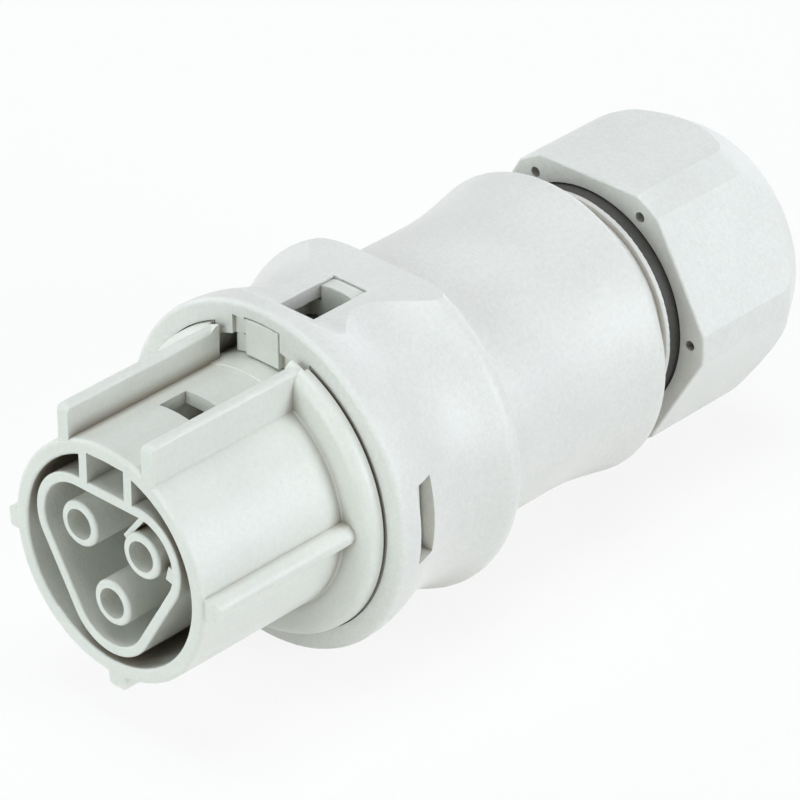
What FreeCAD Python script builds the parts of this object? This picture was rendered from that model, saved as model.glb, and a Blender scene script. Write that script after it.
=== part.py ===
import FreeCAD, Part
import os
from math import asin, atan2, cos, radians, sin, sqrt, tan

# Round three-pole female cable connector, in millimetres.
# The connector's axis is X: mating face at x = 0, cable gland towards +X, latch side up (+Z).

# Fits between pieces
fit_gap = 0.1                # pieces that are pushed into each other
slide_gap = 0.15             # pieces that slide or turn on each other
seat_gap = 0.05              # end faces that lie on each other

# Pin sockets
pin_r = 1.25                 # bore for a 2.5 mm pin
socket_wall = 0.35
socket_depth = 13.0
socket_slot = 0.4
socket_slot_len = 10.5
socket_stop = 0.7            # collar that holds the contact between carrier and holder
socket_stop_len = 0.8
pole_circle_r = 4.15
pole_angle = 61.0            # upper poles, from the top

# Mating sleeve of the contact carrier
sleeve_r = 11.0
sleeve_wall = 1.4
sleeve_len = 16.4            # mating face to flange
recess_depth = 13.5          # open depth inside the sleeve
rim_round = 0.4
rim_inner_round = 0.25
flange_thick = 3.5
flange_round = 1.2
flange_root = 0.15
rim_gap = 0.3                # groove between the flange's rim and the collar
rim_gap_deep = 0.45

# Ribs on the sleeve
tall_rib_inner = 4.25        # half the channel between the tall ribs
tall_rib_thick = 1.2
tall_rib_height = 2.15
tall_rib_start = 0.05
tall_rib_round = 0.8         # front corner
tall_rib_edge = 0.4          # long edges
tall_rib_lap = 1.2           # how far the rib runs on past the flange's front
channel_step = 0.08          # channel floor between the tall ribs, above the sleeve
side_rib_height = 1.45
low_rib_height = 1.65        # the rib opposite the latch
small_rib_turn = 89.0        # from the top to the first small rib, and on to the next
small_rib_width = 1.9
small_rib_start = 0.25
small_rib_round = 0.7        # front corner
catch_start = 8.0            # window between the tall ribs
catch_len = 3.1
catch_half = 1.75

# Three-lobed wall and socket tubes inside the sleeve
tube_wall = 0.45
tube_recess = 0.3
tube_mouth_len = 3.0
tube_lead = 0.1              # widening of the tube's mouth towards the front
tube_round = 0.3
lobe_room = 1.75             # between tube and lobed wall
lobe_wall = 0.95
lobe_edge = 0.2
tie_inner = 2.15
tie_thick = 0.9
web_recess = 0.5             # coding webs, behind the front of the tube
plate_angle = 38.0           # plate that touches the line tube, its normal from +Y towards +Z
plate_thick = 0.5
plate_low = 0.85
key_angle = 195.0            # rib on the lobed wall that points at the line tube
key_thick = 1.4
key_room = 0.5

# Inside end of the carrier
spigot_len = 4.7
core_wall = 1.5
core_floor = 4.0             # thickness of the wall that carries the tubes
core_short = 1.6             # core's end before the chamber's end
guide_wall = 0.6             # tubes round the contact stems
well_half = 3.6              # opening under the window
well_deep = 3.5
hook_height = 1.85
hook_clear = 0.15            # each side of the hook in its slot

# Locking latch
latch_lift = 0.2             # above the sleeve
rail_thick = 1.3
rail_round = 0.6
rail_arm = 0.7               # each side of the frame's opening
rail_setback = 0.7           # from the nose's front
rail_tail = 1.5              # behind the window
nose_proud = 0.03            # in front of the collar
nose_len = 2.1
nose_half = 1.9
nose_edge = 0.12
head_len = 1.55
head_drop = 0.12             # below the flat of the housing
head_crown = 7.0             # radius of the head's arched top
head_edge = 0.3
latch_hole_setback = 3.35    # from the nose's front

# Housing, outside
latch_room = 2.05            # sleeve surface to the chamber's bore
flange_step = 1.05           # flange beyond the chamber's bore
collar_wall = 2.02           # collar beyond the flange
collar_setback = 1.95        # behind the flange's front
collar_len = 0.6
collar_round = 0.5
shell_wall = 1.73            # at the valley behind the collar
crest_rise = 0.1             # lobes beyond the collar
crest_lead = 1.95            # half the arc that leaves the valley
crest_over = 2.0             # lobes' end behind the chamber
crest_round = 1.5
waist_wall = 1.87
waist_root = 0.9
flare_run = 9.9
flare_lead = 2.85            # half the arc that leaves the waist
flare_rise = 1.12
tail_wall = 2.85             # behind the bore
tail_round = 1.0
facet_wall = 1.35            # flat on the top, above the chamber
facet_setback = 3.55         # behind the collar's front
facet_ramp = 2.7             # slope in front of the flat
facet_blend = 3.0
neck_groove_len = 3.3        # between the tail and the neck's collar
neck_collar_step = 0.6       # beyond the thread
neck_collar_len = 0.5
neck_collar_round = 0.1
neck_len = 9.85              # behind the neck's collar
thread_pitch = 1.5
thread_depth = 0.45
thread_root = 0.1            # half the groove's width at its root
thread_mouth = 0.45          # half the groove's width at its mouth
thread_setback = 1.1         # behind the sealing ring

# Housing, inside
latch_end_room = 1.0
chamber_taper = 2.0
bore_room = 0.4              # bore beyond the carrier's core
bore_tail = 0.5              # bore beyond the terminal holder
gland_shoulder = 1.5
gland_floor_wall = 0.55
neck_wall = 1.4

# Openings in the housing
window_setback = 4.15        # behind the collar's front
window_len = 6.6
window_half = 1.95
window_edge = 0.15
slot_setback = 2.25          # behind the collar's front
slot_len = 2.35
slot_half = 3.7
slot_turn = 2.5              # slots and hooks, about the axis
notch_rise = 1.8             # above the chamber's bore
notch_depth = 2.5
pocket_rise = 1.4            # shallow pocket on one side of the notch
pocket_half = 3.45
pocket_depth = 0.4

# Terminals
holder_gap = 0.2
land_setback = 1.4
land_lip = 1.2
land_gap = 0.2
groove_len = 2.2
groove_deep = 1.4
tower_step = 0.6
tower_back = 1.8
block_wall = 1.2             # holder wall in front of each block
block_width = 4.4
block_height = 5.0
block_floor = 0.7            # under the stem's hole
stem_in_block = 3.6
clamp_len = 4.8              # block behind the stem
wire_r = 1.5
screw_r = 1.25
screw_setback = 0.65         # behind the stem
screw_head_r = 1.75
screw_head_len = 1.7
screw_dip = 0.25             # tip below the top of the wire hole
screw_bare = 0.6             # thread between block and head
screw_slot = 0.6
screw_slot_deep = 0.7
guard_thick = 0.25
guard_setback = 0.25         # behind the stem
guard_tab = 2.2

# Cable gland
cable_r = 5.0
seal_wall = 2.1
seal_len = 7.0
seal_edge = 0.6
cage_wall = 1.8
cage_gap = 1.3               # room to tighten
cage_base_len = 3.4
claw_count = 8
claw_slot = 0.9
claw_step = 1.2              # claws' bore beyond the cable
claw_taper = 1.05
claw_taper_len = 6.1
claw_lead = 0.5              # claws' end beyond the nut's cone
slip_step = 0.3
slip_thick = 0.7
nut_gap = 1.27               # room to tighten
nut_wall = 1.5               # at the flats
nut_corner = 1.2             # corners beyond the flats
nut_shoulder = 4.55          # sloping rear of the nut
nut_shoulder_drop = 2.8
nut_shoulder_lead = 0.9      # half the arc that leaves the corners
nut_round = 1.3
nut_edge = 0.25
nut_mouth_len = 2.0
nut_relief = 1.2             # thread's end beyond the neck
nut_cone_len = 3.0
nut_seat_step = 0.3
nut_back = 2.2               # thickness of the rear wall
nut_hole_step = 0.4
pinhole_r = 0.5
pinhole_deep = 1.8
pinhole_inset = 0.38         # inside the flats' radius
ring_thick = 0.45            # sealing ring on the neck
ring_clear = 0.18
ring_len = 2.0
ring_round = 0.2

# Radii and places that follow from the sizes above
socket_r = pin_r + socket_wall
socket_stop_r = socket_r + socket_stop
tube_throat_r = pin_r + seat_gap
tube_mouth_r = tube_throat_r + tube_lead
tube_r = socket_r + seat_gap + tube_wall
guide_r = tube_r + guide_wall
lobe_r = tube_r + lobe_room + lobe_wall
sleeve_inner_r = sleeve_r - sleeve_wall
tall_rib_top = sleeve_r + tall_rib_height
channel_r = sleeve_r + channel_step
channel_half = tall_rib_inner + tall_rib_thick + slide_gap
chamber_r = sleeve_r + latch_room
spigot_r = chamber_r - 2 * fit_gap
core_r = sleeve_r - fit_gap
flange_r = chamber_r + flange_step
collar_r = flange_r + collar_wall
valley_r = chamber_r + shell_wall
crest_r = collar_r + crest_rise
bore_r = core_r + bore_room
waist_r = bore_r + waist_wall
tail_r = waist_r + flare_rise
facet_z = chamber_r + facet_wall
notch_roof_r = chamber_r + notch_rise
pocket_top = chamber_r + pocket_rise
notch_half = nose_half + slide_gap
slot_face = slot_half - hook_clear
rail_floor = sleeve_r + latch_lift
rail_top = rail_floor + rail_thick
rail_half = tall_rib_inner - 2 * slide_gap
gland_bore_r = cable_r + seal_wall + seat_gap + cage_wall + slide_gap
seal_r = cable_r + seal_wall
neck_r = gland_bore_r + neck_wall
neck_collar_r = neck_r + neck_collar_step
passage_r = gland_bore_r - gland_shoulder
nut_mouth_r = neck_r + ring_thick + ring_clear
nut_flat_r = nut_mouth_r + nut_wall
nut_corner_r = nut_flat_r + nut_corner
claw_bore_r = cable_r + claw_step
claw_tip_r = gland_bore_r - slide_gap - claw_taper
nut_seat_r = claw_tip_r + nut_seat_step
slip_inner_r = claw_bore_r + slip_step
nut_hole_r = slip_inner_r + nut_hole_step
land_r = bore_r - land_gap
groove_r = land_r - groove_deep
tower_r = land_r - tower_step

tall_rib_end = sleeve_len + tall_rib_lap
flange_back = sleeve_len + flange_thick
spigot_end = flange_back + spigot_len
floor_back = recess_depth + core_floor
socket_front = tube_recess + tube_mouth_len + fit_gap
collar_front = sleeve_len + collar_setback
collar_end = collar_front + collar_len
rim_back = collar_front - rim_gap
facet_start = collar_front + facet_setback
window_start = collar_front + window_setback
window_end = window_start + window_len
head_back = window_end - slide_gap
head_front = head_back - head_len
slot_start = collar_front + slot_setback
nose_front = collar_front - nose_proud
rail_front = nose_front + rail_setback
rail_end = window_end + rail_tail
chamber_end = rail_end + latch_end_room
crest_end = chamber_end + crest_over
valley_x = (collar_end + crest_end) / 2
core_end = chamber_end - core_short
holder_front = core_end + holder_gap
land_start = chamber_end + chamber_taper + land_setback
groove_start = land_start + land_lip
tower_start = groove_start + groove_len + land_lip
block_start = tower_start + block_wall
stem_end = block_start + stem_in_block
block_end = stem_end + clamp_len
screw_x = stem_end + screw_r + screw_setback
tower_end = block_end + tower_back
bore_end = tower_end + bore_tail
tail_end = bore_end + tail_wall
waist_end = tail_end - flare_run
neck_collar_front = tail_end + neck_groove_len
neck_collar_end = neck_collar_front + neck_collar_len
neck_end = neck_collar_end + neck_len
ring_front = neck_collar_end + seat_gap
ring_back = ring_front + ring_len
gland_floor = neck_collar_end - gland_floor_wall
cage_front = gland_floor + cage_gap
nut_front = neck_collar_end + nut_gap
nut_thread_end = neck_end + nut_relief
nut_cone_end = nut_thread_end + nut_cone_len
claw_end = nut_cone_end + claw_lead
claw_taper_start = claw_end - claw_taper_len
slip_front = claw_end + seat_gap
nut_seat_x = slip_front + slip_thick + slide_gap
nut_end = nut_seat_x + nut_back
block_low = pole_circle_r - socket_r - block_floor
block_high = block_low + block_height
screw_tip = pole_circle_r + wire_r - screw_dip

V = FreeCAD.Vector
axis_x = V(1, 0, 0)
origin = V(0, 0, 0)
poles = {"neutral": -pole_angle, "line": pole_angle, "earth": 180.0}


def outline(corners, place):
    # Closed wire through (u, v, radius) corners. A fourth item "ogee" makes the stretch that
    # leads to the corner two equal arcs, level at both ends.
    count = len(corners)
    entries = []
    middles = []
    exits = []
    for i in range(count):
        here = V(corners[i][0], corners[i][1], 0)
        back = V(corners[i - 1][0], corners[i - 1][1], 0) - here
        ahead = V(corners[(i + 1) % count][0], corners[(i + 1) % count][1], 0) - here
        radius = corners[i][2]
        if radius == 0:
            entries.append(here)
            middles.append(here)
            exits.append(here)
            continue
        half = back.getAngle(ahead) / 2
        back.normalize()
        ahead.normalize()
        inward = back + ahead
        inward.normalize()
        entries.append(here + back * (radius / tan(half)))
        middles.append(here + inward * (radius / sin(half) - radius))
        exits.append(here + ahead * (radius / tan(half)))
    edges = []
    for i in range(count):
        start = exits[i - 1]
        end = entries[i]
        if len(corners[i]) == 4:
            edges += ogee(start, end, place)
        elif start.distanceToPoint(end) > 1e-6:
            edges.append(Part.makeLine(place(start.x, start.y), place(end.x, end.y)))
        if corners[i][2] > 0:
            points = [place(p.x, p.y) for p in (entries[i], middles[i], exits[i])]
            edges.append(Part.Arc(*points).toShape())
    return Part.Wire(edges)


def ogee(start, end, place):
    run = (end.x - start.x) / 2
    rise = (end.y - start.y) / 2
    radius = (run * run + rise * rise) / (2 * abs(rise))
    half_turn = asin(run / radius) / 2
    along = radius * sin(half_turn)
    across = radius * (1 - cos(half_turn)) * (1 if rise > 0 else -1)
    middle = place(start.x + run, start.y + rise)
    first = Part.Arc(place(start.x, start.y), place(start.x + along, start.y + across), middle)
    second = Part.Arc(middle, place(end.x - along, end.y - across), place(end.x, end.y))
    return [first.toShape(), second.toShape()]


def rounded_rise(start_x, start_r, lead, end_x, top_r, radius):
    # Corners of a slope that leaves the level in an arc and ends in a rounded edge at end_x,
    # whose highest point is top_r
    foot_x = start_x + lead
    run = end_x - radius - foot_x
    rise = top_r - radius - start_r
    slope = atan2(rise, run) + asin(radius / sqrt(run * run + rise * rise))
    edge_r = start_r + (end_x - foot_x) * tan(slope)
    return [(foot_x, start_r, lead / tan(slope / 2)), (end_x, edge_r, radius)]


def turned(corners):
    # Solid of revolution about X from (x, r, radius) corners
    face = Part.Face(outline(corners, lambda x, r: V(x, 0, r)))
    return face.revolve(origin, axis_x, 360)


def along_x(corners, start, length):
    # Prism along X from (y, z, radius) corners
    face = Part.Face(outline(corners, lambda y, z: V(start, y, z)))
    return face.extrude(V(length, 0, 0))


def across_y(corners, middle, width):
    # Prism across the axis from (x, z, radius) corners, centred on y = middle
    face = Part.Face(outline(corners, lambda x, z: V(x, middle - width / 2, z)))
    return face.extrude(V(0, width, 0))


def disc(start, end, r):
    # Its seam is turned away from the latch side
    return about_axis(Part.makeCylinder(r, end - start, V(start, 0, 0), axis_x), 180)


def box(x0, x1, y0, y1, z0, z1):
    return Part.makeBox(x1 - x0, y1 - y0, z1 - z0, V(x0, y0, z0))


def edges_at(shape, x):
    return [edge for edge in shape.Edges if all(abs(end.X - x) < 1e-6 for end in edge.Vertexes)]


def about_axis(shape, angle):
    # Turned about X by an angle from the top, positive towards -Y
    copy = shape.copy()
    copy.rotate(origin, axis_x, angle)
    return copy


def at(shape, y, z):
    copy = shape.copy()
    copy.translate(V(0, y, z))
    return copy


def both_sides(shape):
    return [shape, shape.mirror(origin, V(0, 1, 0))]


def pole_place(angle):
    return -pole_circle_r * sin(radians(angle)), pole_circle_r * cos(radians(angle))


def lobed(radius, start, length):
    # Prism whose outline is a triangle on the three poles, rounded by the radius
    points = [V(*pole_place(angle), 0) for angle in poles.values()]
    corners = []
    for i in range(3):
        one = points[i - 1] - points[i]
        two = points[(i + 1) % 3] - points[i]
        half = one.getAngle(two) / 2
        one.normalize()
        two.normalize()
        inward = one + two
        inward.normalize()
        tip = points[i] - inward * (radius / sin(half))
        corners.append((tip.x, tip.y, radius))
    return along_x(corners, start, length)


def small_rib(height):
    # Half-round bead along the sleeve's top, with a rounded front
    root = sleeve_r - sleeve_wall / 2
    top = sleeve_r + height
    end = sleeve_len + flange_thick / 2
    half = small_rib_width / 2
    bead = along_x([(-half, root, 0), (-half, top, half), (half, top, half), (half, root, 0)],
                   small_rib_start, end - small_rib_start)
    side_view = across_y([
        (small_rib_start, root, 0), (small_rib_start, top, small_rib_round), (end, top, 0), (end, root, 0)],
        0, small_rib_width)
    return bead.common(side_view)


def make_carrier():
    shell = turned([
        (0, sleeve_inner_r, rim_inner_round), (0, sleeve_r, rim_round),
        (sleeve_len, sleeve_r, flange_root), (sleeve_len, flange_r, flange_round),
        (rim_back, flange_r, 0), (rim_back, flange_r - rim_gap_deep, 0),
        (collar_front, flange_r - rim_gap_deep, 0), (collar_front, flange_r, 0),
        (flange_back, flange_r, 0), (flange_back, spigot_r, 0),
        (spigot_end, spigot_r, rim_round), (spigot_end, core_r, 0),
        (core_end, core_r, 0), (core_end, core_r - core_wall, 0), (floor_back, core_r - core_wall, 0),
        (floor_back, 0, 0), (recess_depth, 0, 0), (recess_depth, sleeve_inner_r, 0)])

    # Channel for the latch through flange and spigot, and the flat under the sleeve's top
    channel = box(sleeve_len - flange_root, spigot_end, -tall_rib_inner, tall_rib_inner, 0, collar_r)
    channel = channel.fuse(box(tall_rib_end, spigot_end, -channel_half, channel_half, 0, collar_r))
    channel = channel.cut(disc(sleeve_len - flange_root, spigot_end, channel_r))
    flat = box(0, recess_depth, -tie_inner, tie_inner, lobe_r, sleeve_inner_r + fit_gap)
    catch = box(catch_start, catch_start + catch_len, -catch_half, catch_half, lobe_r, collar_r)
    well = box(window_start, head_front, -well_half, well_half, core_r - well_deep, collar_r)
    shell = shell.cut(Part.makeCompound([flat, catch, well])).cut(channel)

    rib_root = sleeve_inner_r - sleeve_wall / 2
    rib_outer = tall_rib_inner + tall_rib_thick
    tall = along_x([
        (tall_rib_inner, rib_root, 0), (tall_rib_inner, tall_rib_top, tall_rib_edge),
        (rib_outer, tall_rib_top, tall_rib_edge), (rib_outer, rib_root, 0)],
        tall_rib_start, tall_rib_end - tall_rib_start)
    side_view = across_y([
        (tall_rib_start, rib_root, 0), (tall_rib_start, tall_rib_top, tall_rib_round),
        (tall_rib_end, tall_rib_top, 0), (tall_rib_end, rib_root, 0)], 0, 2 * rib_outer)
    added = both_sides(tall.common(side_view))
    small_ribs = [small_rib(height) for height in (side_rib_height, low_rib_height, side_rib_height)]
    added += [about_axis(rib, (i + 1) * small_rib_turn) for i, rib in enumerate(small_ribs)]

    # Three-lobed wall with its two ties, and the socket tubes on the recess floor
    deep = recess_depth + core_floor / 2
    wall = lobed(lobe_r, 0, deep).cut(lobed(lobe_r - lobe_wall, 0, recess_depth))
    wall = wall.makeFillet(lobe_edge, edges_at(wall, 0))
    wall_top = pole_place(pole_angle)[1] + lobe_r - lobe_wall / 2
    tie = box(0, deep, tie_inner, tie_inner + tie_thick, wall_top, sleeve_r - sleeve_wall / 2)
    added += [wall] + both_sides(tie)
    tube = turned([(tube_recess, 0, 0), (tube_recess, tube_r, tube_round), (deep, tube_r, 0), (deep, 0, 0)])
    guide = disc(deep, core_end, guide_r)
    socket_hole = disc(socket_front - fit_gap, core_end, socket_r + seat_gap)
    mouth = turned([
        (tube_recess, 0, 0), (tube_recess, tube_mouth_r, 0), (socket_front, tube_throat_r, 0),
        (socket_front, 0, 0)])
    holes = []
    for angle in poles.values():
        y, z = pole_place(angle)
        added += [at(tube, y, z), at(guide, y, z)]
        holes += [at(socket_hole, y, z), at(mouth, y, z)]

    # Coding webs beside the line tube
    y, z = pole_place(poles["line"])
    web_front = tube_recess + web_recess
    web_reach = lobe_r - lobe_wall / 2
    plate_in = tube_r - fit_gap
    plate_out = plate_in + plate_thick
    plate_top = sqrt(web_reach ** 2 - plate_out ** 2)
    plate = box(web_front, deep, plate_in, plate_out, -plate_low, plate_top)
    key = box(web_front, deep, tube_r + key_room, web_reach, -key_thick / 2, key_thick / 2)
    added += [at(about_axis(plate, plate_angle), y, z), at(about_axis(key, key_angle), y, z)]

    # Snap hooks that sit in the housing's side slots
    hook_front = slot_start + fit_gap
    hook_back = slot_start + slot_len - fit_gap
    hook_top = spigot_r + hook_height
    hook = Part.Face(outline([
        (hook_front, core_r, 0), (hook_front, hook_top, 0), ((hook_front + hook_back) / 2, hook_top, 0),
        (hook_back, (spigot_r + hook_top) / 2, 0), (hook_back, core_r, 0)],
        lambda x, r: V(x, r, -slot_face)))
    hooks = both_sides(hook.extrude(V(0, 0, 2 * slot_face)))
    added += [about_axis(side, -slot_turn) for side in hooks]
    return shell.fuse(added).cut(Part.makeCompound(holes)).removeSplitter()


def make_housing():
    outside = turned([
        (collar_front, 0, 0), (collar_front, collar_r, collar_round), (collar_end, collar_r, 0),
        (valley_x, valley_r, 0, "ogee"),
        *rounded_rise(valley_x, valley_r, crest_lead, crest_end, crest_r, crest_round),
        (crest_end, waist_r, waist_root), (waist_end, waist_r, 0),
        *rounded_rise(waist_end, waist_r, flare_lead, tail_end, tail_r, tail_round),
        (tail_end, neck_r, 0), (neck_collar_front, neck_r, 0),
        (neck_collar_front, neck_collar_r, neck_collar_round),
        (neck_collar_end, neck_collar_r, neck_collar_round), (neck_collar_end, neck_r, 0),
        (neck_end, neck_r, 0), (neck_end, 0, 0)])
    facet_end = crest_end + waist_root
    facet_top = crest_r + collar_round
    facet = across_y([
        (facet_start - facet_ramp, facet_top, 0), (facet_start, facet_z, facet_blend),
        (facet_end, facet_z, 0), (facet_end, facet_top, 0)], 0, 2 * crest_r)
    seat_r = flange_r + fit_gap
    seat_floor = flange_back + seat_gap
    inside = turned([
        (collar_front, 0, 0), (collar_front, seat_r, 0), (seat_floor, seat_r, 0),
        (seat_floor, chamber_r, 0), (chamber_end, chamber_r, 0),
        (chamber_end + chamber_taper, bore_r, 0), (bore_end, bore_r, 0), (tail_end, passage_r, 0),
        (gland_floor, passage_r, 0), (gland_floor, gland_bore_r, 0), (neck_end, gland_bore_r, 0),
        (neck_end, 0, 0)])
    shell = outside.cut(facet).cut(inside).cut(thread_groove())

    # Above the latch channel the collar reaches in to the chamber's bore
    bridge_half = channel_half - slide_gap
    bridge = disc(collar_front, seat_floor, (flange_r + collar_r) / 2).cut(
        disc(collar_front, seat_floor, chamber_r))
    bridge = bridge.common(box(collar_front, seat_floor, -bridge_half, bridge_half, 0, collar_r))

    notch_end = collar_front + notch_depth
    notch = disc(collar_front, notch_end, notch_roof_r).common(
        box(collar_front, notch_end, -notch_half, notch_half, sleeve_r, collar_r))
    pocket = box(collar_front, collar_front + pocket_depth, nose_half, pocket_half, sleeve_r, pocket_top)
    slots = box(slot_start, slot_start + slot_len, -collar_r, collar_r, -slot_half, slot_half)
    slots = about_axis(slots, -slot_turn)
    shell = shell.fuse(bridge).cut(Part.makeCompound([notch, window_hole(), slots]))
    return shell.cut(pocket).removeSplitter()


def window_hole():
    hole = box(window_start, window_end, -window_half, window_half, sleeve_r, crest_r)
    rims = []
    for widening, z in ((0, facet_z - window_edge), (2 * window_edge, facet_z + window_edge)):
        x0 = window_start - widening
        x1 = window_end + widening
        y = window_half + widening
        rims.append(Part.makePolygon([V(x0, -y, z), V(x1, -y, z), V(x1, y, z), V(x0, y, z), V(x0, -y, z)]))
    return hole.fuse(Part.makeLoft(rims, True, True))


def thread_groove():
    # Right-handed groove that runs out over the neck's end
    start = ring_back + thread_setback
    length = neck_end + thread_pitch - start
    path = Part.Wire(Part.makeLongHelix(thread_pitch, length, neck_r, 0, False))
    root_r = neck_r - thread_depth
    mouth_r = neck_r + fit_gap
    section = Part.makePolygon([
        V(mouth_r, 0, -thread_mouth), V(root_r, 0, -thread_root), V(root_r, 0, thread_root),
        V(mouth_r, 0, thread_mouth), V(mouth_r, 0, -thread_mouth)])
    groove = path.makePipeShell([section], True, True)
    groove.rotate(origin, V(0, 1, 0), 90)
    groove.translate(V(start, 0, 0))
    return groove


def make_latch():
    # A curved frame that slides over the carrier, with a nose in the collar and a head in the window
    frame = Part.Face(outline([
        (rail_front, -rail_half, rail_round), (rail_end, -rail_half, rail_round),
        (rail_end, rail_half, rail_round), (rail_front, rail_half, rail_round)],
        lambda x, y: V(x, y, 0))).extrude(V(0, 0, rail_top))
    frame = frame.common(disc(rail_front, rail_end, chamber_r - slide_gap))
    frame = frame.cut(disc(rail_front, rail_end, rail_floor))
    hole_half = rail_half - rail_arm
    hole = box(nose_front + latch_hole_setback, head_front, -hole_half, hole_half, 0, rail_top)
    nose_back = nose_front + nose_len
    nose = box(nose_front, nose_back, -nose_half, nose_half, rail_floor, notch_roof_r)
    nose = nose.common(disc(nose_front, nose_back, notch_roof_r - slide_gap))
    nose = nose.makeFillet(nose_edge, edges_at(nose, nose_front))
    head_half = window_half - fit_gap
    head_top = facet_z - head_drop
    head = across_y([
        (head_front, rail_floor, 0), (head_front, head_top, head_edge / 2),
        (head_back, head_top, head_edge), (head_back, rail_floor, 0)], 0, 2 * head_half)
    head = head.common(at(disc(head_front, head_back, head_crown), 0, head_top - head_crown))
    return frame.cut(hole).fuse([nose, head]).removeSplitter()


def make_socket(angle):
    stop_front = holder_front + seat_gap
    stop_back = holder_front + socket_stop_len
    bore_floor = socket_front + socket_depth
    body = turned([
        (socket_front, pin_r, 0), (socket_front, socket_r, 0), (stop_front, socket_r, 0),
        (stop_front, socket_stop_r, 0), (stop_back, socket_stop_r, 0), (stop_back, socket_r, 0),
        (stem_end, socket_r, 0), (stem_end, 0, 0), (bore_floor, 0, 0), (bore_floor, pin_r, 0)])
    slot = box(socket_front, socket_front + socket_slot_len, -socket_slot / 2, socket_slot / 2,
               -socket_r, socket_r)
    return about_axis(at(body.cut(slot), 0, pole_circle_r), angle)


def make_terminal(angle):
    # Block on the contact's stem, with a wire hole from behind and a screw hole from outside
    block = box(block_start + seat_gap, block_end, -block_width / 2, block_width / 2, block_low, block_high)
    stem_hole = disc(block_start, stem_end + seat_gap, socket_r + seat_gap)
    wire_hole = disc(block_start, block_end, wire_r)
    screw_hole = Part.makeCylinder(screw_r + seat_gap, block_height, V(screw_x, 0, pole_circle_r))
    cuts = [at(stem_hole, 0, pole_circle_r), at(wire_hole, 0, pole_circle_r), screw_hole]
    return about_axis(block.cut(Part.makeCompound(cuts)), angle)


def make_screw(angle):
    head_low = block_high + screw_bare
    head_high = head_low + screw_head_len
    shank = Part.makeCylinder(screw_r, head_low - screw_tip, V(screw_x, 0, screw_tip))
    head = Part.makeCylinder(screw_head_r, screw_head_len, V(screw_x, 0, head_low))
    slot = box(screw_x - screw_head_r, screw_x + screw_head_r, -screw_slot / 2, screw_slot / 2,
               head_high - screw_slot_deep, head_high)
    return about_axis(shank.fuse(head).cut(slot).removeSplitter(), angle)


def make_guard(angle):
    # Leaf between screw tip and wire, bent up behind the block
    top = screw_tip - seat_gap
    low = top - guard_thick
    back = block_end + seat_gap
    front = stem_end + guard_setback
    half = sqrt(wire_r ** 2 - (top - pole_circle_r) ** 2) - fit_gap
    leaf = across_y([
        (front, low, 0), (back + guard_thick, low, 0), (back + guard_thick, top + guard_tab, 0),
        (back, top + guard_tab, 0), (back, top, 0), (front, top, 0)], 0, 2 * half)
    return about_axis(leaf, angle)


def make_holder():
    groove_end = groove_start + groove_len
    body = turned([
        (holder_front, 0, 0), (holder_front, core_r, 0), (land_start, core_r, 0), (land_start, land_r, 0),
        (groove_start, land_r, 0), (groove_start, groove_r, 0), (groove_end, groove_r, 0),
        (groove_end, land_r, 0), (tower_start, land_r, 0), (tower_start, tower_r, 0),
        (tower_end, tower_r, 0), (tower_end, 0, 0)])
    side = block_width / 2 + fit_gap
    chamber = box(block_start, block_end + 2 * guard_thick, -side, side, block_low - fit_gap, bore_r)
    stem_hole = disc(holder_front, block_start, socket_r + seat_gap)
    stop_hole = disc(holder_front, holder_front + socket_stop_len + seat_gap, socket_stop_r + fit_gap)
    wire_hole = disc(block_start, tower_end, wire_r + fit_gap)
    cuts = []
    for angle in poles.values():
        cuts.append(about_axis(chamber, angle))
        cuts += [about_axis(at(hole, 0, pole_circle_r), angle) for hole in (stem_hole, stop_hole, wire_hole)]
    return body.cut(Part.makeCompound(cuts))


def make_chamber_seal():
    front = groove_start + fit_gap
    back = groove_start + groove_len - fit_gap
    inner = groove_r + seat_gap
    outer = bore_r - seat_gap
    return turned([(front, inner, 0), (front, outer, seal_edge), (back, outer, seal_edge), (back, inner, 0)])


def make_nut():
    shoulder_x = nut_end - nut_shoulder
    shoulder_turn = atan2(nut_shoulder_drop, nut_shoulder)
    outside = turned([
        (nut_front, 0, 0), (nut_front, nut_corner_r, 0),
        (shoulder_x, nut_corner_r, nut_shoulder_lead / tan(shoulder_turn / 2)),
        (nut_end, nut_corner_r - nut_shoulder_drop, nut_round), (nut_end, 0, 0)])
    tip = nut_flat_r / cos(radians(30))
    turns = [radians(60 * i + 30) for i in range(6)]
    points = [(tip * sin(turn), tip * cos(turn), 0) for turn in turns]
    hexagon = along_x(points, nut_front, nut_end - nut_front)
    body = outside.common(hexagon)
    body = body.makeFillet(nut_edge, edges_at(body, nut_front))
    thread_r = neck_r + slide_gap
    mouth_end = nut_front + nut_mouth_len
    inside = turned([
        (nut_front, 0, 0), (nut_front, nut_mouth_r, 0), (mouth_end, nut_mouth_r, 0),
        (mouth_end, thread_r, 0), (nut_thread_end, thread_r, 0),
        (nut_cone_end, nut_seat_r, 0), (nut_seat_x, nut_seat_r, 0),
        (nut_seat_x, nut_hole_r, 0), (nut_end, nut_hole_r, 0), (nut_end, 0, 0)])
    hole = at(disc(nut_front, nut_front + pinhole_deep, pinhole_r), 0, nut_flat_r - pinhole_inset)
    holes = [about_axis(hole, 60 * i + 30) for i in range(6)]
    return body.cut(inside).cut(Part.makeCompound(holes))


def make_neck_ring():
    inner = neck_r + seat_gap
    outer = neck_r + ring_thick
    return turned([
        (ring_front, inner, 0), (ring_front, outer, ring_round), (ring_back, outer, ring_round),
        (ring_back, inner, 0)])


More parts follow.
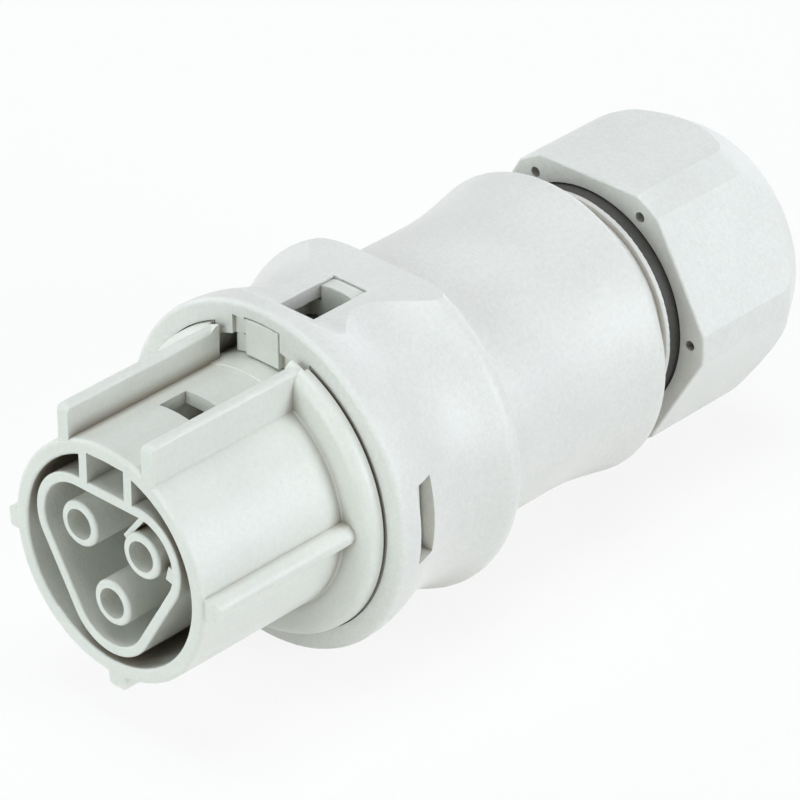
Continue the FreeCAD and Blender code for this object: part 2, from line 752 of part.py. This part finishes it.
def make_cage():
    # Ring of claws that slides in the neck and closes on the cable
    outer = gland_bore_r - slide_gap
    inner = seal_r + seat_gap
    step = cage_front + seal_len + 2 * fit_gap
    body = turned([
        (cage_front, inner, 0), (cage_front, outer, 0), (claw_taper_start, outer, 0),
        (claw_end, claw_tip_r, 0), (claw_end, claw_bore_r, 0), (step, claw_bore_r, 0), (step, inner, 0)])
    slot = box(cage_front + cage_base_len, claw_end, -claw_slot / 2, claw_slot / 2, -outer, outer)
    slots = [about_axis(slot, 360 * i / claw_count) for i in range(claw_count // 2)]
    return body.cut(Part.makeCompound(slots))


def make_cable_seal():
    front = cage_front + fit_gap
    back = front + seal_len
    return turned([
        (front, cable_r, seal_edge), (front, seal_r, 0), (back, seal_r, 0), (back, cable_r, seal_edge)])


def make_slip_ring():
    outer = nut_seat_r - slide_gap
    back = slip_front + slip_thick
    return turned([
        (slip_front, slip_inner_r, 0), (slip_front, outer, 0), (back, outer, 0), (back, slip_inner_r, 0)])


pieces = {
    "housing": make_housing(),
    "contact_carrier": make_carrier(),
    "locking_latch": make_latch(),
    "terminal_holder": make_holder(),
    "chamber_seal": make_chamber_seal(),
    "gland_nut": make_nut(),
    "neck_ring": make_neck_ring(),
    "clamp_cage": make_cage(),
    "cable_seal": make_cable_seal(),
    "slip_ring": make_slip_ring(),
}
for pole, angle in poles.items():
    pieces["socket_" + pole] = make_socket(angle)
    pieces["terminal_" + pole] = make_terminal(angle)
    pieces["screw_" + pole] = make_screw(angle)
    pieces["guard_" + pole] = make_guard(angle)

os.makedirs("parts", exist_ok=True)
for name, shape in pieces.items():
    shape.exportStep("parts/" + name + ".step")
    print(name, len(shape.Solids), "solid", "valid" if shape.isValid() else "broken", round(shape.Volume, 1))
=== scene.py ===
from math import cos, pi, radians, sin
import bpy
import bmesh
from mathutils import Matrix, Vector


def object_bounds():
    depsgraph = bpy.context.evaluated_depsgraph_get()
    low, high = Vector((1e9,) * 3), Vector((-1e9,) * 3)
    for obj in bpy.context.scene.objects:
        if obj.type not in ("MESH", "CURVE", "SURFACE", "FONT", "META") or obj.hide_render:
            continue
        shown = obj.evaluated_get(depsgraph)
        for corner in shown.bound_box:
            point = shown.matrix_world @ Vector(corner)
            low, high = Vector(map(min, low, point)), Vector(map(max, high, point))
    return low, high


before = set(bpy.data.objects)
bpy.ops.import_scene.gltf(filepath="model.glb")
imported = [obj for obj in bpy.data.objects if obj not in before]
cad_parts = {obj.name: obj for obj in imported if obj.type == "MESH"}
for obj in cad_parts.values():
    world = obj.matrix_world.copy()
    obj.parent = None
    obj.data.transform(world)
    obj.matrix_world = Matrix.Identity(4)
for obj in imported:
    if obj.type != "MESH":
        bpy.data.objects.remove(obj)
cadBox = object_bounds()


# Colours, lengths and nodes

def linear(hexColour):
    channels = [int(hexColour[i:i + 2], 16) / 255 for i in (1, 3, 5)]
    return [c / 12.92 if c <= 0.04045 else ((c + 0.055) / 1.055) ** 2.4 for c in channels] + [1.0]


def metres(millimetres):
    return millimetres / 1000


def perMetre(millimetres):
    return 1000 / millimetres  # pattern scale on Object coordinates, which are in metres


# A Mix node's sockets share their names, so they go by number
factor, floatA, floatB, colourA, colourB, colourOut = 0, 2, 3, 6, 7, 2
shaderA, shaderB = 1, 2  # and a Mix Shader's


def addNode(tree, kind, links={}, **settings):
    node = tree.nodes.new(kind)
    for name, value in settings.items():
        setattr(node, name, value)
    for socket, value in links.items():
        if isinstance(value, bpy.types.NodeSocket):
            tree.links.new(value, node.inputs[socket])
        else:
            node.inputs[socket].default_value = value
    return node


def newMaterial(name):
    material = bpy.data.materials.new(name)
    material.use_nodes = True
    tree = material.node_tree
    tree.nodes.clear()
    return material, tree


def giveMaterial(material, *nodeNames):
    for name in nodeNames:
        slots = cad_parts[name].data.materials
        slots.clear()
        slots.append(material)


# Painted shade: the base colour is darkened towards a shade colour in narrow gaps and deep corners, where
# less light reaches, as ambient occlusion on each piece alone finds them. Reach in mm.

paintedGapShade = {"reach": 2.0, "deep": 0.15, "open": 0.75, "rays": 8}


def paintShadeInGaps(tree, tint, colour):
    p = paintedGapShade
    gaps = addNode(tree, "ShaderNodeAmbientOcclusion", {"Distance": metres(p["reach"])},
                   samples=p["rays"], only_local=True)
    unshaded = addNode(tree, "ShaderNodeMapRange", {
        "Value": gaps.outputs["AO"], "From Min": p["deep"], "From Max": p["open"]})
    shaded = addNode(tree, "ShaderNodeMix", {
        factor: unshaded.outputs[0], colourA: linear(colour), colourB: tint}, data_type="RGBA")
    return shaded.outputs[colourOut]


# Moulded polyamide, which lets a little light through at thin edges. A spark eroded mould gives an even satin
# face with a fine sandy grain, a polished one a smoother and glossier face. The real grit is about 0.05 mm:
# that is the finest step of the grain, and the coarser steps up to 0.4 mm are there so that it shows.
# Lengths in mm.

# The third colour of each finish is the painted shade for its gaps and deep corners.
polyamide = {
    "spark-moulded-shell": {
        "light": "#E8E6DF", "dark": "#D9D7D0", "paintedShade": "#80705A", "depth": 0.12, "rough": (0.31, 0.47)},
    "spark-moulded-nut": {
        "light": "#E7E6DF", "dark": "#D8D7D0", "paintedShade": "#B8B5AB", "depth": 0.12, "rough": (0.31, 0.47)},
    "polish-moulded": {
        "light": "#E3E3DA", "dark": "#D8D8CF", "paintedShade": "#80705A", "depth": 0.09, "rough": (0.30, 0.40)},
}
polyamideAll = {
    "cloud": 7.0, "cloudDetail": 3.0,
    "grain": 0.4, "grainDetail": 3.0, "grainRoughness": 0.75, "grainShare": 0.6,
    "contrast": (0.3, 0.7), "relief": 0.6,
    "ior": 1.53, "glow": 0.1, "glowReach": (1.0, 0.8, 0.6),
}


def makePolyamide(finish):
    p = {**polyamideAll, **polyamide[finish]}
    material, tree = newMaterial("polyamide-" + finish)
    place = addNode(tree, "ShaderNodeTexCoord").outputs["Object"]
    cloud = addNode(tree, "ShaderNodeTexNoise", {
        "Vector": place, "Scale": perMetre(p["cloud"]), "Detail": p["cloudDetail"]})
    grain = addNode(tree, "ShaderNodeTexNoise", {
        "Vector": place, "Scale": perMetre(p["grain"]), "Detail": p["grainDetail"],
        "Roughness": p["grainRoughness"]})
    speckle = addNode(tree, "ShaderNodeMix", {
        factor: p["grainShare"], floatA: cloud.outputs["Fac"], floatB: grain.outputs["Fac"]})
    level = addNode(tree, "ShaderNodeMapRange", {
        "Value": speckle.outputs[0], "From Min": p["contrast"][0], "From Max": p["contrast"][1]})
    tint = addNode(tree, "ShaderNodeMix", {
        factor: level.outputs[0], colourA: linear(p["dark"]), colourB: linear(p["light"])},
        data_type="RGBA")
    rough = addNode(tree, "ShaderNodeMapRange", {
        "Value": level.outputs[0], "To Min": p["rough"][0], "To Max": p["rough"][1]})
    bump = addNode(tree, "ShaderNodeBump", {
        "Height": grain.outputs["Fac"], "Strength": p["relief"], "Distance": metres(p["depth"])})
    # Base colour with painted shade in gaps and deep corners
    shader = addNode(tree, "ShaderNodeBsdfPrincipled", {
        "Base Color": paintShadeInGaps(tree, tint.outputs[colourOut], p["paintedShade"]),
        "Roughness": rough.outputs[0], "IOR": p["ior"], "Normal": bump.outputs[0],
        "Subsurface Weight": p["glow"], "Subsurface Radius": p["glowReach"], "Subsurface Scale": metres(1)})
    addNode(tree, "ShaderNodeOutputMaterial", {"Surface": shader.outputs[0]})
    return material


# Moulded rubber: dark, dull, with a fine dusty bloom. Lengths in mm.

sealRubber = {
    "dark": "#373632", "bloom": "#514F49", "speck": 0.5, "speckDetail": 4.0,
    "relief": 0.4, "depth": 0.02, "rough": 0.62, "ior": 1.52,
}


def makeSealRubber():
    p = sealRubber
    material, tree = newMaterial("rubber-moulded")
    place = addNode(tree, "ShaderNodeTexCoord").outputs["Object"]
    speck = addNode(tree, "ShaderNodeTexNoise", {
        "Vector": place, "Scale": perMetre(p["speck"]), "Detail": p["speckDetail"]})
    tint = addNode(tree, "ShaderNodeMix", {
        factor: speck.outputs["Fac"], colourA: linear(p["dark"]), colourB: linear(p["bloom"])},
        data_type="RGBA")
    bump = addNode(tree, "ShaderNodeBump", {
        "Height": speck.outputs["Fac"], "Strength": p["relief"], "Distance": metres(p["depth"])})
    shader = addNode(tree, "ShaderNodeBsdfPrincipled", {
        "Base Color": tint.outputs[colourOut], "Roughness": p["rough"], "IOR": p["ior"],
        "Normal": bump.outputs[0]})
    addNode(tree, "ShaderNodeOutputMaterial", {"Surface": shader.outputs[0]})
    return material


# Bright metals. Turned brass has fine rings, drawn brass and stamped steel have fine lines, and zinc plating
# is cool and softly bright: each breaks up the reflection. Real tool marks are 0.1 to 0.4 mm apart. They are
# drawn about six times as wide, so that they show. Lengths in mm.

brightMetals = {
    "brass-turned": {"light": "#D9B867", "dark": "#C3A04F", "spacing": 0.754, "rough": 0.28},
    "brass-drawn": {"light": "#D2B064", "dark": "#BC984A", "spacing": 1.885, "rough": 0.36},
    "steel-zinc-plated": {"light": "#C9CCCF", "dark": "#B4B8BC", "spacing": 1.257, "rough": 0.3},
    "steel-stamped": {"light": "#C2C4C6", "dark": "#A9ACB0", "spacing": 2.513, "rough": 0.35},
}
brightMetalsAll = {"waver": 1.5, "waverDetail": 2.0, "relief": 0.2, "depth": 0.005}
wavesPerUnit = 20 / (2 * pi)  # bands that a wave texture draws on one unit at a scale of 1


def makeBrightMetal(name):
    p = {**brightMetalsAll, **brightMetals[name]}
    material, tree = newMaterial(name)
    place = addNode(tree, "ShaderNodeTexCoord").outputs["Object"]
    marks = addNode(tree, "ShaderNodeTexWave", {
        "Vector": place, "Scale": perMetre(p["spacing"]) / wavesPerUnit,
        "Distortion": p["waver"], "Detail": p["waverDetail"]}, bands_direction="X")
    tint = addNode(tree, "ShaderNodeMix", {
        factor: marks.outputs["Fac"], colourA: linear(p["dark"]), colourB: linear(p["light"])},
        data_type="RGBA")
    bump = addNode(tree, "ShaderNodeBump", {
        "Height": marks.outputs["Fac"], "Strength": p["relief"], "Distance": metres(p["depth"])})
    shader = addNode(tree, "ShaderNodeBsdfPrincipled", {
        "Base Color": tint.outputs[colourOut], "Metallic": 1.0, "Roughness": p["rough"],
        "Normal": bump.outputs[0]})
    addNode(tree, "ShaderNodeOutputMaterial", {"Surface": shader.outputs[0]})
    return material


poleNames = ("neutral", "line", "earth")
metalOf = {
    "socket": "brass-turned", "terminal": "brass-drawn",
    "screw": "steel-zinc-plated", "guard": "steel-stamped",
}
giveMaterial(makePolyamide("spark-moulded-shell"), "housing")
giveMaterial(makePolyamide("spark-moulded-nut"), "gland_nut")
giveMaterial(makePolyamide("polish-moulded"),
             "contact_carrier", "locking_latch", "terminal_holder", "clamp_cage", "slip_ring")
giveMaterial(makeSealRubber(), "neck_ring", "chamber_seal", "cable_seal")
for part, metal in metalOf.items():
    giveMaterial(makeBrightMetal(metal), *[part + "_" + pole for pole in poleNames])
print("materials:", len(bpy.data.materials))


# Plain white, for the rays that see the floor or the world directly: from the camera, in a reflection or
# through glass. The light that falls on the part doesn't use it.

backdrop = {"colour": "#FFFFFF", "strength": 1.0}


def seenDirectly(tree):
    path = addNode(tree, "ShaderNodeLightPath")
    direct = addNode(tree, "ShaderNodeMath", {
        0: path.outputs["Is Camera Ray"], 1: path.outputs["Is Glossy Ray"]}, operation="MAXIMUM")
    return addNode(tree, "ShaderNodeMath", {
        0: direct.outputs[0], 1: path.outputs["Is Transmission Ray"]}, operation="MAXIMUM").outputs[0]


# Matt white card: reads as a white background and keeps a soft shadow under the part. Radius in metres.

floorLook = {"radius": 2.5, "sides": 64, "colour": "#F4F3EF", "rough": 0.9, "whiteShare": 0.85}


def makeFloor():
    p = floorLook
    mesh = bpy.data.meshes.new("floor")
    bm = bmesh.new()
    bmesh.ops.create_circle(bm, cap_ends=True, radius=p["radius"], segments=p["sides"])
    bmesh.ops.translate(bm, verts=bm.verts, vec=(0, 0, cadBox[0].z))
    bm.to_mesh(mesh)
    bm.free()
    floor = bpy.data.objects.new("floor", mesh)
    bpy.context.scene.collection.objects.link(floor)
    material, tree = newMaterial("card-matt")
    card = addNode(tree, "ShaderNodeBsdfPrincipled", {
        "Base Color": linear(p["colour"]), "Roughness": p["rough"]})
    white = addNode(tree, "ShaderNodeEmission", {
        "Color": linear(backdrop["colour"]), "Strength": backdrop["strength"]})
    share = addNode(tree, "ShaderNodeMath", {0: seenDirectly(tree), 1: p["whiteShare"]}, operation="MULTIPLY")
    both = addNode(tree, "ShaderNodeMixShader", {
        factor: share.outputs[0], shaderA: card.outputs[0], shaderB: white.outputs[0]})
    addNode(tree, "ShaderNodeOutputMaterial", {"Surface": both.outputs[0]})
    mesh.materials.append(material)


makeFloor()
print("floor laid")


# Camera at the photo's angle. Lengths in metres, angles in degrees, lens and sensor in mm.

shot = {
    "aim": (0.0352, 0.00005, 0.00006), "distance": 0.4354, "azimuth": -47.0, "elevation": 31.05,
    "lens": 226.7, "sensor": 36, "nearest": 0.01,
}


def aimAt(thing, target):
    thing.rotation_mode = "QUATERNION"
    thing.rotation_quaternion = (Vector(target) - thing.location).to_track_quat("-Z", "Y")


def makeCamera():
    turn = radians(shot["azimuth"])
    lift = radians(shot["elevation"])
    back = Vector((sin(turn) * cos(lift), -cos(turn) * cos(lift), sin(lift)))
    data = bpy.data.cameras.new("camera")
    data.sensor_width = shot["sensor"]
    data.lens = shot["lens"]
    data.clip_start = shot["nearest"]
    camera = bpy.data.objects.new("camera", data)
    bpy.context.scene.collection.objects.link(camera)
    camera.location = Vector(shot["aim"]) + back * shot["distance"]
    aimAt(camera, shot["aim"])
    bpy.context.scene.camera = camera


# Soft studio light: wide round boxes above, on both sides, in front and behind, and a faint fill.
# Places and sizes in metres, power in watts.

fill = {"colour": "#FFFFFF", "strength": 0.02}
softBoxes = {
    "sideBox": {"from": (0.30, -0.79, 0.22), "size": 0.55, "power": 4.7, "colour": "#EEF5FF"},
    "topBox": {"from": (0.00, 0.00, 0.90), "size": 0.7, "power": 5.0, "colour": "#F1F6FC"},
    "farBox": {"from": (-0.18, 0.81, 0.36), "size": 0.7, "power": 2.6, "colour": "#EEF5FF"},
    "frontBox": {"from": (-0.86, 0.02, 0.30), "size": 0.7, "power": 4.9, "colour": "#ECFAFD"},
    "rearBox": {"from": (0.86, 0.20, 0.27), "size": 0.7, "power": 2.0, "colour": "#EEF5FF"},
}


def makeLight():
    world = bpy.data.worlds.new("studio")
    bpy.context.scene.world = world
    world.use_nodes = True
    tree = world.node_tree
    tree.nodes.clear()
    lit = addNode(tree, "ShaderNodeBackground", {
        "Color": linear(fill["colour"]), "Strength": fill["strength"]})
    white = addNode(tree, "ShaderNodeBackground", {
        "Color": linear(backdrop["colour"]), "Strength": backdrop["strength"]})
    both = addNode(tree, "ShaderNodeMixShader", {
        factor: seenDirectly(tree), shaderA: lit.outputs[0], shaderB: white.outputs[0]})
    addNode(tree, "ShaderNodeOutputWorld", {"Surface": both.outputs[0]})
    for name, p in softBoxes.items():
        data = bpy.data.lights.new(name, "AREA")
        data.shape = "DISK"
        data.size = p["size"]
        data.energy = p["power"]
        data.color = linear(p["colour"])[:3]
        lamp = bpy.data.objects.new(name, data)
        bpy.context.scene.collection.objects.link(lamp)
        lamp.location = p["from"]
        aimAt(lamp, shot["aim"])


makeLight()
makeCamera()
bpy.context.scene.view_settings.view_transform = "Standard"
print("light and camera set")
